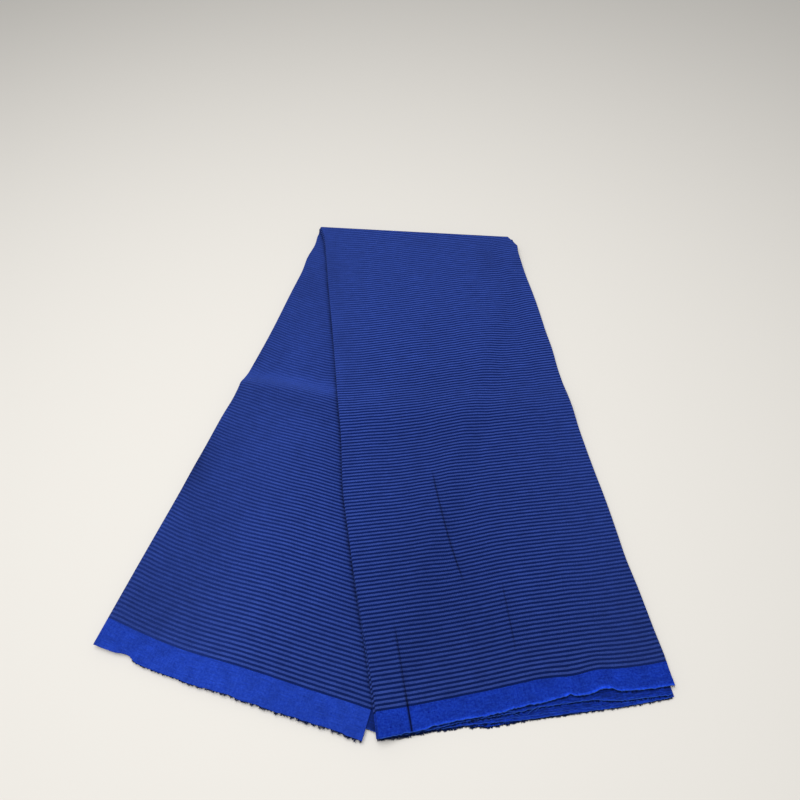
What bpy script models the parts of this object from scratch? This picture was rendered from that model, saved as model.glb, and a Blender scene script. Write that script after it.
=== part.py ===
"""Folded striped handwoven cloth.

One cut length of cloth is folded lengthwise, back and forth, into four layers. The pack of
layers is then folded once across on a slant, so that its two legs lie in a narrow open V.
The right leg lies on the left one and comes down to the surface beyond it. The whole cloth
is one solid. Lengths are in metres and angles in radians, with +Z up.

Places on the cloth are given as a leg sees them: across, from the leg's left edge, and
along, from the slanting crease towards the raw end.
"""

import math
from collections import namedtuple

import bmesh
import bpy

# Driving dimensions of the cut and of the pack
CUT_WIDTH = 1.524
LAYERS = 4
LAYER_WIDTH = CUT_WIDTH / LAYERS
SHEET = 0.0012
LAYER_GAP = 0.0006
LEG_GAP = 0.0024
SLANT = math.radians(12.4)

# What follows from them: levels and radii of the middle of the sheet
LEVEL = SHEET + LAYER_GAP
INNER_RADIUS = (SHEET + LEG_GAP) / 2
PACK = (LAYERS - 1) * LEVEL
OUTER_RADIUS = INNER_RADIUS + PACK
CREASE_REACH = OUTER_RADIUS + SHEET / 2
CREASE_HEIGHT = CREASE_REACH

# The lines where a layer ends across the pack: its two selvedges and three folds, in order
# from the innermost layer, which faces the crease, to the outermost. Each has its place
# across at five stations along the cloth, and how far its two raw ends reach.
CrossLine = namedtuple(
    "CrossLine", "name left_end left_mid crease right_mid right_end left_reach right_reach")
CROSS_LINES = (
    CrossLine("inner selvedge", 0.381, 0.379, 0.380, 0.377, 0.375, 0.868, 0.953),
    CrossLine("inner fold", 0.001, 0.004, -0.002, -0.003, 0.001, 0.863, 0.951),
    CrossLine("middle fold", 0.386, 0.385, 0.384, 0.378, 0.379, 0.850, 0.954),
    CrossLine("outer fold", 0.000, 0.002, -0.002, -0.005, 0.002, 0.858, 0.949),
    CrossLine("outer selvedge", 0.382, 0.381, 0.383, 0.380, 0.383, 0.861, 0.939),
)
STATIONS = (-0.866, -0.430, 0.040, 0.490, 0.950)

# At the far right corner the outer layer is rounded off and the middle fold peeks out
CORNER_CUT = 0.013
CORNER_RUN = 0.045
CORNER_PEEK = 0.007

# The outermost layer's raw end steps back to the right of a narrow crease
STEP_BACK = 0.006
STEP_FROM = 0.045
STEP_TO = 0.080

# Old fold that lifts the inner layers of the left leg, a quarter of the cut from its end
LEFT_RIDGE_AT = 0.413
LEFT_RIDGE_LEAN = -0.062
LEFT_RIDGE_RISE = 0.009
LEFT_RIDGE_FAR = 0.038
LEFT_RIDGE_NEAR = 0.085
LEFT_LOFT = 0.007
LEFT_END = 0.866
EDGE_SHARE = 0.45
EDGE_RUN = 0.050
COVERED_FROM = -0.090
COVERED_TO = 0.030
COVERED_LOSS = 0.80
HIDDEN_FROM = 0.250
HIDDEN_TO = 0.350

# How the right leg goes over that fold, and its own old fold across
OVER_FAR = 0.080
OVER_NEAR = 0.110
RIGHT_RIDGE_AT = 0.478
RIGHT_RIDGE_LEAN = 0.070
RIGHT_RIDGE_RISE = 0.0055
RIGHT_RIDGE_SIDE = 0.058

# A long soft swell on the right leg's outer layers
SWELL_RISE = 0.004
SWELL_ACROSS = 0.235
SWELL_SIDE = 0.085
SWELL_FROM = 0.600
SWELL_TO = 0.940
SWELL_FADE = 0.110

# The right leg comes down beyond the left leg's hidden edge
DROP_FROM = 0.390
DROP_RUN = 0.045
DROP = CREASE_HEIGHT + INNER_RADIUS - SHEET / 2

# Steps of the mesh
LAYER_STEPS = 10
FOLD_STEPS = 3
BEND_STEPS = 8
RowRun = namedtuple("RowRun", "to steps")
LEFT_ROWS = (RowRun(0.350, 4), RowRun(0.372, 1), RowRun(0.420, 6), RowRun(0.500, 3), RowRun(None, 6))
RIGHT_ROWS = (RowRun(0.415, 5), RowRun(0.545, 6), RowRun(0.900, 6), RowRun(None, 2))

CLOTH_BLUE = (0.022, 0.042, 0.235, 1.0)
CLOTH_ROUGHNESS = 0.85


def clear_scene():
    for thing in list(bpy.data.objects):
        bpy.data.objects.remove(thing, do_unlink=True)


def mix(low, high, share):
    return low + (high - low) * share


def eased(share):
    share = min(max(share, 0.0), 1.0)
    return share * share * (3.0 - 2.0 * share)


def hump(place, crest, far, near):
    """A rounded ridge that falls to nothing at its two sides."""
    side = far if place < crest else near
    share = min(abs(place - crest) / side, 1.0)
    return math.cos(share * math.pi / 2) ** 2


def along_stations(values, place):
    """The value at a place along the cloth, eased from station to station."""
    if place <= STATIONS[0]:
        return values[0]
    for low, high, start, end in zip(values, values[1:], STATIONS, STATIONS[1:]):
        if place <= end:
            return mix(low, high, eased((place - start) / (end - start)))
    return values[-1]


def line_place(line, place):
    """How far across the pack a fold or selvedge lies, at a place along the cloth."""
    across = along_stations(line[1:6], place)
    from_crease = abs(place * math.cos(SLANT) - across * math.sin(SLANT))
    near_crease = 1.0 - eased(from_crease / CORNER_RUN)
    if line.name == "outer selvedge":
        across -= CORNER_CUT * near_crease
    if line.name == "middle fold":
        across += CORNER_PEEK * near_crease
    return across


def section_path():
    """The zigzag of the layers as (line, next line, share of the way, level, turn).

    turn is None on a layer, and on a fold the angle turned through, so that a point's place
    can be worked out at any row. Levels count the layers from the innermost one.
    """
    path = []
    for layer in range(LAYERS):
        for step in range(LAYER_STEPS + 1):
            path.append((layer, layer + 1, step / LAYER_STEPS, float(layer), None))
        if layer < LAYERS - 1:
            for step in range(1, FOLD_STEPS):
                turn = math.pi * step / FOLD_STEPS
                path.append((layer + 1, layer + 1, 0.0, layer + 0.5 * (1 - math.cos(turn)), turn))
    return path


def path_place(point, place):
    """Across, height in the pack and the sheet's direction there, for a point of the path."""
    first, last, share, level, turn = point
    start = line_place(CROSS_LINES[first], place)
    end = line_place(CROSS_LINES[last], place)
    radius = LEVEL / 2
    heading = -1.0 if (first % 2 == 0) else 1.0
    if turn is None:
        inset_start = 0.0 if first == 0 else radius
        inset_end = 0.0 if last == LAYERS else radius
        across = mix(start + heading * inset_start, end - heading * inset_end, share)
        return across, level * LEVEL, (0.0, heading)
    # On a fold the sheet turns back, away from the layer that it ends
    heading = -heading
    centre = start - heading * radius
    across = centre + heading * radius * math.sin(turn)
    return across, level * LEVEL, (math.sin(turn), heading * math.cos(turn))


def end_reach(point, across, side):
    """How far along its leg a column of the cloth reaches."""
    first, last, share, _, _ = point
    low, high = (getattr(CROSS_LINES[i], side + "_reach") for i in (first, last))
    reach = mix(low, high, eased(share))
    if side == "right" and last == LAYERS:
        reach = mix(CROSS_LINES[first].right_reach, CROSS_LINES[last].right_reach, share)
        reach -= STEP_BACK * eased((across - STEP_FROM) / (STEP_TO - STEP_FROM)) * (1 - share)
    return reach


def left_profile(along, crest, far, near):
    """The left leg's old fold, and the loft that it leaves towards the raw end."""
    if along < crest:
        return (LEFT_RIDGE_RISE + LEFT_LOFT) * hump(along, crest, far, near)
    loft = eased((LEFT_END - along) / (LEFT_END - crest))
    return LEFT_RIDGE_RISE * hump(along, crest, far, near) + LEFT_LOFT * loft


def leg_places(cross, out):
    """(across, along) on the left leg and on the right leg, of a point of the surface."""
    sine, cosine = math.sin(SLANT), math.cos(SLANT)
    left = (cross * cosine + out * sine, out * cosine - cross * sine)
    right = (cross * cosine - out * sine, out * cosine + cross * sine)
    return left, right


def left_rise(cross, out, far=LEFT_RIDGE_FAR, near=LEFT_RIDGE_NEAR):
    """How far the innermost layer of the left leg is lifted."""
    (across, along), (covered, _) = leg_places(cross, out)
    crest = LEFT_RIDGE_AT + LEFT_RIDGE_LEAN * across
    rise = left_profile(along, crest, far, near)
    rise *= mix(EDGE_SHARE, 1.0, eased(across / EDGE_RUN))
    rise *= 1.0 - COVERED_LOSS * eased((covered - COVERED_FROM) / (COVERED_TO - COVERED_FROM))
    rise *= 1.0 - eased((across - HIDDEN_FROM) / (HIDDEN_TO - HIDDEN_FROM))
    return rise


def right_rise(cross, out, share):
    """How far the right leg stands off its flat place. share is 1 for its outermost layer."""
    (hidden, _), (across, along) = leg_places(cross, out)
    rise = left_rise(cross, out, OVER_FAR, OVER_NEAR)
    crest = RIGHT_RIDGE_AT + RIGHT_RIDGE_LEAN * across
    rise += share * RIGHT_RIDGE_RISE * hump(along, crest, RIGHT_RIDGE_SIDE, RIGHT_RIDGE_SIDE)
    swell = SWELL_RISE * hump(across, SWELL_ACROSS, SWELL_SIDE, SWELL_SIDE)
    swell *= eased((along - SWELL_FROM) / SWELL_FADE) * eased((SWELL_TO - along) / SWELL_FADE)
    rise += share * swell
    rise -= DROP * eased((hidden - DROP_FROM) / DROP_RUN)
    return rise


def place_point(across, along, height, level):
    """A point of the pack, bent round the crease and laid on the surface.

    along is measured along the sheet: positive on the right leg and negative on the left.
    """
    cross = across * math.cos(SLANT) + along * math.sin(SLANT)
    from_crease = along * math.cos(SLANT) - across * math.sin(SLANT)
    middle = INNER_RADIUS + level * LEVEL
    radius = INNER_RADIUS + height
    half_bend = middle * math.pi / 2
    share = level / (LAYERS - 1)
    if from_crease > half_bend:
        out = from_crease - half_bend + CREASE_REACH
        return cross, out, CREASE_HEIGHT + radius + right_rise(cross, out, share)
    if from_crease < -half_bend:
        out = -from_crease - half_bend + CREASE_REACH
        return cross, out, CREASE_HEIGHT - radius + (1.0 - share) * left_rise(cross, out)
    turn = from_crease / middle
    out = CREASE_REACH - radius * math.cos(turn)
    return cross, out, CREASE_HEIGHT + radius * math.sin(turn)


def column_rows(point):
    """Places along the cloth of one column's points, from the left raw end to the right one."""
    level = point[3]
    radius = INNER_RADIUS + level * LEVEL
    taken = radius * math.pi / 2 - CREASE_REACH
    nominal = path_place(point, 0.0)[0]
    crease_at = nominal * math.tan(SLANT)
    bend = radius * math.pi / 2 / math.cos(SLANT)
    legs = {}
    for side, sign, runs in (("left", -1.0, LEFT_ROWS), ("right", 1.0, RIGHT_ROWS)):
        reach = end_reach(point, nominal, side) + taken * math.cos(SLANT)
        place = sign * crease_at + bend
        places = []
        for run in runs:
            goal = reach if run.to is None else run.to
            places += [mix(place, goal, step / run.steps) for step in range(1, run.steps + 1)]
            place = goal
        legs[side] = [sign * value for value in places]
    turned = [crease_at + mix(-bend, bend, step / BEND_STEPS) for step in range(BEND_STEPS + 1)]
    return legs["left"][::-1] + turned + legs["right"]


def build_cloth():
    path = section_path()
    columns = [column_rows(point) for point in path]
    mesh = bmesh.new()
    faces_of_sheet = {}
    for side in (1.0, -1.0):
        grid = []
        for point, rows in zip(path, columns):
            column = []
            for along in rows:
                across, height, (rise, run) = path_place(point, along)
                offset = side * SHEET / 2
                across, height = across - rise * offset, height + run * offset
                column.append(mesh.verts.new(place_point(across, along, height, point[3])))
            grid.append(column)
        faces_of_sheet[side] = grid
    near, far = faces_of_sheet[1.0], faces_of_sheet[-1.0]
    last_column, last_row = len(path) - 1, len(columns[0]) - 1
    for i in range(last_column):
        for j in range(last_row):
            mesh.faces.new((near[i][j], near[i][j + 1], near[i + 1][j + 1], near[i + 1][j]))
            mesh.faces.new((far[i][j], far[i + 1][j], far[i + 1][j + 1], far[i][j + 1]))
        for j in (0, last_row):
            mesh.faces.new((near[i][j], near[i + 1][j], far[i + 1][j], far[i][j]))
    for i in (0, last_column):
        for j in range(last_row):
            mesh.faces.new((near[i][j], near[i][j + 1], far[i][j + 1], far[i][j]))
    return mesh


def stand_on_origin(mesh):
    """The box of the cloth gets its bottom centre at the origin, with the raw ends towards -Y."""
    for vert in mesh.verts:
        vert.co.y = -vert.co.y
    bmesh.ops.recalc_face_normals(mesh, faces=mesh.faces)
    for axis in (0, 1):
        places = [vert.co[axis] for vert in mesh.verts]
        middle = (min(places) + max(places)) / 2
        for vert in mesh.verts:
            vert.co[axis] -= middle


def cloth_material():
    material = bpy.data.materials.new("striped_cloth")
    material.use_nodes = True
    shader = material.node_tree.nodes["Principled BSDF"]
    shader.inputs["Base Color"].default_value = CLOTH_BLUE
    shader.inputs["Roughness"].default_value = CLOTH_ROUGHNESS
    return material


def main():
    clear_scene()
    shape = build_cloth()
    stand_on_origin(shape)
    data = bpy.data.meshes.new("cloth")
    shape.to_mesh(data)
    shape.free()
    data.shade_smooth()
    data.materials.append(cloth_material())
    cloth = bpy.data.objects.new("cloth", data)
    bpy.context.scene.collection.objects.link(cloth)


main()
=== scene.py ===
"""Folded striped handwoven cloth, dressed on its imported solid.

The solid gives the folds. Here a finer sheet is laid on the same folds, with its creases and
weft stripes, and its raw ends are frayed. Lengths are in metres and angles in radians, in the
frame of the solid: +Z up, and +Y from the raw ends to the slanting crease.

Places on the cloth are given as a leg sees them: across, from the leg's left edge, and along,
from the slanting crease towards the raw end. A signed place along the whole cloth is negative
on the left leg and positive on the right one.
"""

import math
import random
from bisect import bisect_left
from collections import namedtuple

import bmesh
import bpy
from mathutils import Matrix, Vector, noise


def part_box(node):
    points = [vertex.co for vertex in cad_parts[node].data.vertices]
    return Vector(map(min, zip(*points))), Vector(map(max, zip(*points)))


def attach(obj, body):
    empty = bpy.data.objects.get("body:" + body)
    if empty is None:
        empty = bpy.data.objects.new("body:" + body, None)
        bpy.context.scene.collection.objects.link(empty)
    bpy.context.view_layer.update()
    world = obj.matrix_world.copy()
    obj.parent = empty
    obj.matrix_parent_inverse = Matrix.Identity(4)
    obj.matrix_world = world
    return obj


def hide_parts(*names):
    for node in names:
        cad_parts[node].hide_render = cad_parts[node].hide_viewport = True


bl_info = {
    "name": "Folded Striped Handwoven Cloth",
    "version": (1, 0, 0),
    "blender": (4, 5, 0),
    "location": "View3D > Sidebar > Folded Cloth",
    "description": "Lays a striped handwoven cloth in its folds, frays its raw ends and lights it",
    "category": "Add Mesh",
}

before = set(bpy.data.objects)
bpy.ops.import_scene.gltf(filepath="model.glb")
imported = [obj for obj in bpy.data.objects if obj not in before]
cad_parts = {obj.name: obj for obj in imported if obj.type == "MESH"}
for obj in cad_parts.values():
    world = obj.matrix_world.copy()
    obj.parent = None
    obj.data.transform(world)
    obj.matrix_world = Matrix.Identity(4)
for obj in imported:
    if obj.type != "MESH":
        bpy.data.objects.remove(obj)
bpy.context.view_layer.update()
_, CLOTH_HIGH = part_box("cloth")
UP = Vector((0.0, 0.0, 1.0))


def rows(kind, *values):
    """The rows of a table, with named fields."""
    return tuple(kind(*row) for row in values)


# The cut and its pack, as the solid has them
LAYERS = 4
INNER, OUTER = 0, LAYERS - 1
LAYER_WIDTH = 1.524 / LAYERS
SHEET = 0.0012
LAYER_GAP = 0.0006
LEG_GAP = 0.0024
LEVEL = SHEET + LAYER_GAP
INNER_RADIUS = (SHEET + LEG_GAP) / 2
PACK = OUTER * LEVEL
CREASE_HEIGHT = INNER_RADIUS + PACK + SHEET / 2
CREASE_LEFT = -0.1956
CREASE_BACK = Vector(CLOTH_HIGH).y
SLANT = math.radians(12.4)
SINE, COSINE = math.sin(SLANT), math.cos(SLANT)

# The lines where a layer ends across the pack, from the innermost layer to the outermost: each
# one's place across at the stations along the cloth, and where the plain bands start
CrossLine = namedtuple(
    "CrossLine", "name left_end left_mid crease right_top right_mid right_low right_end left_band right_band")
CROSS_LINES = rows(
    CrossLine,
    ("inner selvedge", 0.381, 0.379, 0.384, 0.380, 0.377, 0.376, 0.376, 0.828, 0.919),
    ("inner fold", 0.001, 0.0065, -0.001, -0.002, -0.003, -0.009, 0.003, 0.827, 0.917),
    ("middle fold", 0.400, 0.388, 0.384, 0.382, 0.378, 0.3785, 0.380, 0.815, 0.920),
    ("outer fold", 0.000, 0.0045, 0.000, -0.0026, -0.005, -0.0110, 0.0045, 0.823, 0.916),
    ("outer selvedge", 0.382, 0.381, 0.383, 0.382, 0.380, 0.380, 0.384, 0.826, 0.912),
)
STATIONS = (-0.866, -0.430, 0.040, 0.220, 0.490, 0.630, 0.950)
LEFT_LINES = ("inner fold", "outer fold")

# How the pack's two long sides swell or draw in: at which signed place along the cloth, over what
# half width, and how far out
Bulge = namedtuple("Bulge", "place half_width out")
BULGES = {
    "left": rows(
        Bulge,
        (-0.490, 0.060, 0.0018), (-0.445, 0.026, -0.0024), (-0.411, 0.007, 0.0010),
        (-0.290, 0.090, -0.0020), (-0.580, 0.034, 0.0009), (-0.070, 0.034, 0.0042),
        (-0.088, 0.024, 0.0014), (-0.008, 0.026, 0.0082), (0.680, 0.050, -0.0014)),
    "right": rows(
        Bulge,
        (0.112, 0.012, 0.0040), (0.270, 0.100, 0.0032), (0.385, 0.030, 0.0018), (0.680, 0.045, 0.0012),
        (0.905, 0.020, 0.0010), (0.775, 0.030, -0.0014)),
}

# The crease's far corner, where the outer layers are cut off round it
CUT_LINES = ("outer selvedge", "middle fold")
CORNER_CUT = 0.012
CORNER_STEP = 0.006
CORNER_STEP_AT = 0.0245

# Raw ends of the layers, from the innermost one: how far along its leg each reaches, at places
# across the leg from its left edge
EndPlace = namedtuple("EndPlace", "across reach")
ENDS = {
    "left": (
        rows(EndPlace, (0.000, 0.8634), (0.016, 0.8632), (0.028, 0.8628), (0.038, 0.8608),
             (0.044, 0.8611), (0.054, 0.8658), (0.063, 0.8679), (0.100, 0.8688), (0.150, 0.8690),
             (0.182, 0.8672), (0.199, 0.8650), (0.211, 0.8668), (0.250, 0.8670), (0.300, 0.8656),
             (0.345, 0.8646), (0.381, 0.8652)),
        rows(EndPlace, (0.000, 0.8605), (0.400, 0.8500)),
        rows(EndPlace, (0.000, 0.8580), (0.400, 0.8500)),
        rows(EndPlace, (0.000, 0.8580), (0.382, 0.8600)),
    ),
    "right": (
        rows(EndPlace, (0.003, 0.9464), (0.060, 0.9466), (0.095, 0.9474), (0.120, 0.9492),
             (0.150, 0.9504), (0.330, 0.9512), (0.375, 0.9508)),
        rows(EndPlace, (0.003, 0.9462), (0.085, 0.9452), (0.125, 0.9462), (0.150, 0.9496),
             (0.340, 0.9528), (0.379, 0.9508)),
        rows(EndPlace, (0.004, 0.9468), (0.110, 0.9420), (0.230, 0.9396), (0.288, 0.9402),
             (0.308, 0.9462), (0.379, 0.9482)),
        rows(EndPlace, (0.004, 0.9465), (0.044, 0.9447), (0.070, 0.9412), (0.095, 0.9400),
             (0.156, 0.9392), (0.168, 0.9370), (0.200, 0.9345), (0.235, 0.9330), (0.262, 0.9335),
             (0.300, 0.9348), (0.312, 0.9362), (0.383, 0.9394)),
    ),
}

# Nicks in the raw ends: which end, from the innermost layer on, and how deep and wide
Nick = namedtuple("Nick", "side layer across half_width pull")
NICKS = rows(
    Nick,
    ("right", 0, 0.107, 0.0044, 0.0046),
    ("right", 0, 0.138, 0.0050, -0.0016),
    ("left", 0, 0.2395, 0.0020, 0.0010),
    ("left", 0, 0.3190, 0.0020, 0.0011),
    ("left", 0, 0.3540, 0.0020, 0.0009),
)

# Old fold of the left leg: how far along its crest is, how that changes across, how high it stands
# and how far its two sides reach. The cloth keeps some loft from there towards its end
Ridge = namedtuple("Ridge", "at lean rise far near")
LEFT_RIDGE = Ridge(0.423, -0.100, 0.009, 0.038, 0.085)
LEFT_LOFT = 0.007
LEFT_END = 0.866
EDGE_SHARE = 0.45
EDGE_RUN = 0.050
COVERED_SPAN = (-0.090, 0.120)
COVERED_LOSS = 0.80
HIDDEN_SPAN = (0.250, 0.100)

# Old fold of the right leg, its swell, and how it goes over the left leg and down beyond it
OVER_RIDGE = LEFT_RIDGE._replace(far=0.080, near=0.110)
RIGHT_RIDGE = Ridge(0.478, 0.070, 0.0055, 0.058, 0.058)
SWELL_RISE = 0.004
SWELL_ACROSS = 0.235
SWELL_SIDE = 0.085
SWELL_FROM = 0.600
SWELL_TO = 0.940
SWELL_FADE = 0.110
DROP_SPAN = (0.390, 0.045)
DROP = CREASE_HEIGHT + INNER_RADIUS - SHEET / 2

# Loft that the crease keeps at its left end
PUFF = 0.0066
PUFF_ACROSS = 0.370
PUFF_LEG = 0.130

# Narrow creases of the outer layer on the right leg: where each starts and ends, how deep its trough is,
# how high the cloth stands beside it, how dark the painted shade of its line is, and from where on that
# painted shade is darker and wider
Crease = namedtuple(
    "Crease",
    "start end from_across to_across curve depth shoulder half_width shade "
    "deep_from deep_half_width deep_shade")
CREASES = rows(
    Crease,
    (0.592, 0.785, 0.1290, 0.1465, 2.0, 0.0015, 0.0015, 0.0009, 0.66, 0.785, 0.0009, 0.66),
    (0.812, 0.985, 0.0405, 0.0467, 1.0, 0.0020, 0.0016, 0.0009, 0.56, 0.893, 0.0014, 0.97),
    (0.775, 0.885, 0.1970, 0.1940, 1.0, 0.0009, 0.0008, 0.0009, 0.44, 0.885, 0.0009, 0.44),
)
CREASE_FADE = 0.030
SHOULDER_LEFT = 0.007
SHOULDER_RIGHT = 0.0035
COLUMN_PULL = 0.030

# A soft lengthwise half fold along the middle of both legs
HALF_FOLD_ACROSS = 0.195
HALF_FOLD_SIDE = 0.012
HALF_FOLD_RISE = 0.0008

# Painted shadow: a dark line on the left leg where the right leg's folded edge lies on it
CONTACT_SIDE = 0.0038
CONTACT_SHADE = 0.72

# The layers below are a little darker by their raw ends, and where wefts are missing there the dark warp
# shows
LOWER_SHADE = 0.04
LOWER_REACH = 0.030
# Painted shade on the lower leg's hidden layers, where they show between the legs
COVERED_SHADE = 0.50
MISSING_SHARE = 0.62
FRAYING_SPAN = (0.012, 0.010)

# Painted light and shade: the upper leg's stripes are lighter towards the crease than towards the raw end
UPPER_PAINTED_LIGHT = 1.20
LOWER_PAINTED_LIGHT = 0.90
PAINTED_LIGHT_SPAN = (0.430, 0.480)

# How far the stripes have faded into one another, and how much paler a painted sheen makes them: on the
# lower leg, less beside the upper one and more behind its ridge and by the crease, and on the upper leg by
# the crease, by its fold and by its other side
FadingAndPaintedSheen = namedtuple(
    "FadingAndPaintedSheen",
    "lower inward inward_from inward_run ridge crease "
    "top top_run fold fold_side fold_from fold_run outer")
FADING = FadingAndPaintedSheen(0.52, 0.42, 0.050, 0.190, 0.44, 0.18, 0.42, 0.400, 0.42, 0.045, 0.360, 0.100, 0.20)
PAINTED_SHEEN = FadingAndPaintedSheen(0.31, 0.24, 0.120, 0.200, 0.52, 0.22, 0.28, 0.450, 0.16, 0.012, 0.300, 0.300, 0.0)
CREASE_FADING_SHEEN_RUN = 0.380
OUTER_FADING_SHEEN_ACROSS = (0.250, 0.110)
OUTER_FADING_SHEEN_ALONG = (0.380, 0.100)

# The strip just behind the lower leg's ridge, where the stripes are faded and carry painted sheen
STRIP_BACK = 0.029
STRIP_RUN = 0.018
STRIP_END = 0.012
STRIP_STOP = 0.005

# Puckers of the outer layer's raw edge, which also curls up a little: where each is, how wide it
# is, how far it draws the edge back and how high it stands
Pucker = namedtuple("Pucker", "across half_width pull rise")
PUCKERS = rows(
    Pucker,
    (0.2445, 0.0045, 0.0028, 0.0035),
    (0.2880, 0.0085, 0.0034, 0.0040),
    (0.3010, 0.0045, 0.0026, 0.0030),
)
PUCKER_RUN = 0.022
# Painted highlight on the puckers, by the raw edge
PUCKER_HIGHLIGHT = 0.50
PUCKER_HIGHLIGHT_RUN = 0.0045
EDGE_CURL = 0.0014
EDGE_CURL_RUN = 0.014

# Painted highlight along the raw edges of the right leg, where the curled edge catches the light
RIM_HIGHLIGHT = 1.30
LOWER_RIM_HIGHLIGHT = 0.45
RIM_RUN = 0.0018
RIM_SPAN = (0.035, 0.030)

# Waves of the raw ends and of the visible layers, each in its own row of the noise
END_WAVE = 0.0016
END_WAVE_LENGTH = 0.045
END_RIPPLE = 0.0007
END_RIPPLE_LENGTH = 0.009
LAYER_ROW = 10.0
LEFT_ROW = 5.0
RIPPLE_ROW = 3.0
SOFT_WAVE = 0.0011
SOFT_WAVE_ACROSS = 0.055
SOFT_WAVE_ALONG = 0.260
SOFT_WAVE_RUN = 0.200

# Folded edges spring open, so that the pack is thicker there
SPRING = 0.55
SPRING_RUN = 0.075
SPRING_SPAN = (0.060, 0.140)

# Columns and rows of the mesh, closer beside the creases, puckers, corner and raw ends. Each run of
# rows goes on to a place along its leg, and the last one to the rows by the raw end
LAYER_COLUMNS = (57, 11, 11, 60)
FOLD_COLUMNS = 8
CREASE_COLUMNS = (0.0, 0.0006, 0.0013, 0.0023, 0.0038, 0.0062)
COLUMN_CLEAR = 0.25
PUCKER_SPANS = ((0.2330, 0.2490), (0.2760, 0.3030))
PUCKER_STEP = 0.0032
SELVEDGE_COLUMN = 0.0008
BEND_ROWS = 18
STEP_ROWS = (-0.0070, -0.0003, 0.0004)
RowRun = namedtuple("RowRun", "to rows")
LEFT_ROWS = rows(RowRun, (0.345, 26), (0.425, 24), (0.500, 12), (None, 38))
RIGHT_ROWS = rows(RowRun, (0.415, 32), (0.545, 22), (None, 50))
END_ROWS = (0.012, 0.008, 0.005, 0.0025, 0.0007, 0.0)
MARKS = ("shading", "fading", "painted_sheen", "fraying")

# Bows of the wefts, which the pull of the folds has left: how far along and across each leg each
# is and over what half widths, and how far its middle is drawn towards the raw end
Patch = namedtuple("Patch", "along run across half_width amount")
BOWS = {
    "left": rows(
        Patch,
        (0.600, 0.220, 0.190, 0.400, -0.0052), (0.600, 0.260, 0.000, 0.025, -0.0059),
        (0.200, 0.150, 0.090, 0.060, 0.0039), (0.410, 0.060, 0.110, 0.050, 0.0037),
        (0.640, 0.120, 0.120, 0.050, 0.0035), (0.830, 0.120, 0.120, 0.070, 0.0024),
        (0.840, 0.100, 0.360, 0.060, -0.0031), (0.460, 0.120, 0.250, 0.080, 0.0026),
        (0.480, 0.060, 0.080, 0.050, 0.0018), (0.550, 0.040, 0.165, 0.030, 0.0016),
        (0.830, 0.060, 0.110, 0.070, 0.0012), (0.830, 0.040, 0.350, 0.050, 0.0012),
        (0.830, 0.050, 0.022, 0.034, -0.0013), (0.450, 0.040, 0.120, 0.040, 0.0013),
        (0.345, 0.040, 0.135, 0.016, 0.0028)),
    "right": rows(
        Patch,
        (0.300, 0.230, 0.190, 0.400, 0.0052), (0.620, 0.260, 0.215, 0.060, -0.0037),
        (0.550, 0.080, 0.095, 0.050, 0.0022), (0.235, 0.090, 0.322, 0.050, 0.0078),
        (0.440, 0.060, 0.020, 0.060, 0.0011), (0.110, 0.070, 0.000, 0.060, -0.0061),
        (0.570, 0.110, 0.380, 0.050, 0.0032), (0.900, 0.120, 0.000, 0.090, 0.0038),
        (0.750, 0.130, 0.000, 0.060, 0.0011), (0.880, 0.050, 0.120, 0.050, 0.0014),
        (0.915, 0.020, 0.060, 0.070, 0.0008), (0.900, 0.060, 0.355, 0.042, 0.0026),
        (0.915, 0.025, 0.294, 0.016, -0.0019), (0.915, 0.030, 0.005, 0.030, 0.0008),
        (0.915, 0.022, 0.257, 0.018, 0.0013), (0.915, 0.022, 0.217, 0.020, -0.0009),
        (0.355, 0.050, 0.040, 0.020, 0.0020), (0.325, 0.050, 0.132, 0.022, -0.0018),
        (0.340, 0.050, 0.180, 0.020, 0.0018), (0.420, 0.030, 0.270, 0.022, -0.0020),
        (0.255, 0.050, 0.365, 0.022, -0.0030), (0.150, 0.050, 0.012, 0.016, -0.0026),
        (0.650, 0.060, 0.112, 0.018, -0.0010), (0.670, 0.070, 0.230, 0.030, 0.0010),
        (0.780, 0.060, 0.285, 0.018, -0.0012)),
}

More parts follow.
